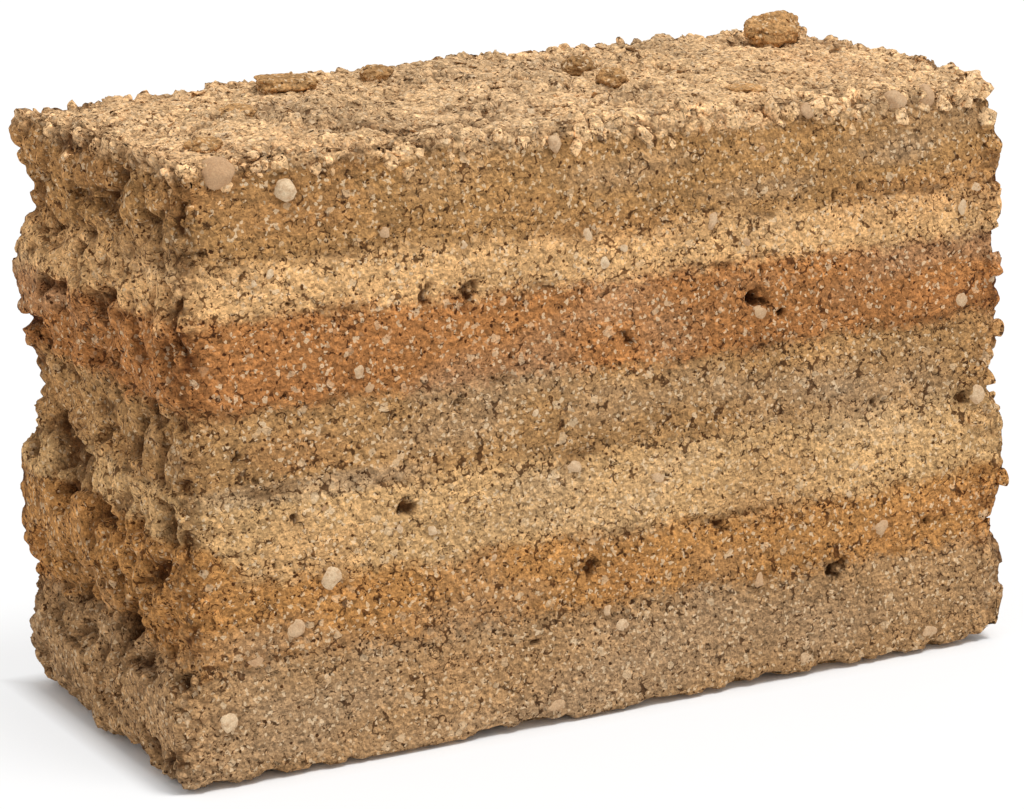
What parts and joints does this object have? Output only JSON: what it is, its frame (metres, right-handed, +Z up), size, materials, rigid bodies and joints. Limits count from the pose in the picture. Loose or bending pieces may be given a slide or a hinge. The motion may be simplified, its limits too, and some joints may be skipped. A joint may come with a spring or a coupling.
{
  "type": "rammed earth block",
  "caption": "Free-standing block of rammed earth with coloured compacted lifts, worn arrises, lumpy ends and a crumbly crowned top, used as a wall unit or material sample.",
  "frame": {"origin": "middle of the flat bed that the block rests on", "axes": "+X along the block's length, +Y from the front face to the back face, +Z up from the bed"},
  "size_m": [0.4107, 0.163, 0.2732],
  "materials": {
    "rammed_earth": "matte"
  },
  "bodies": {
    "root": {"rammed_earth_block": "rammed_earth"}
  },
  "joints": []
}
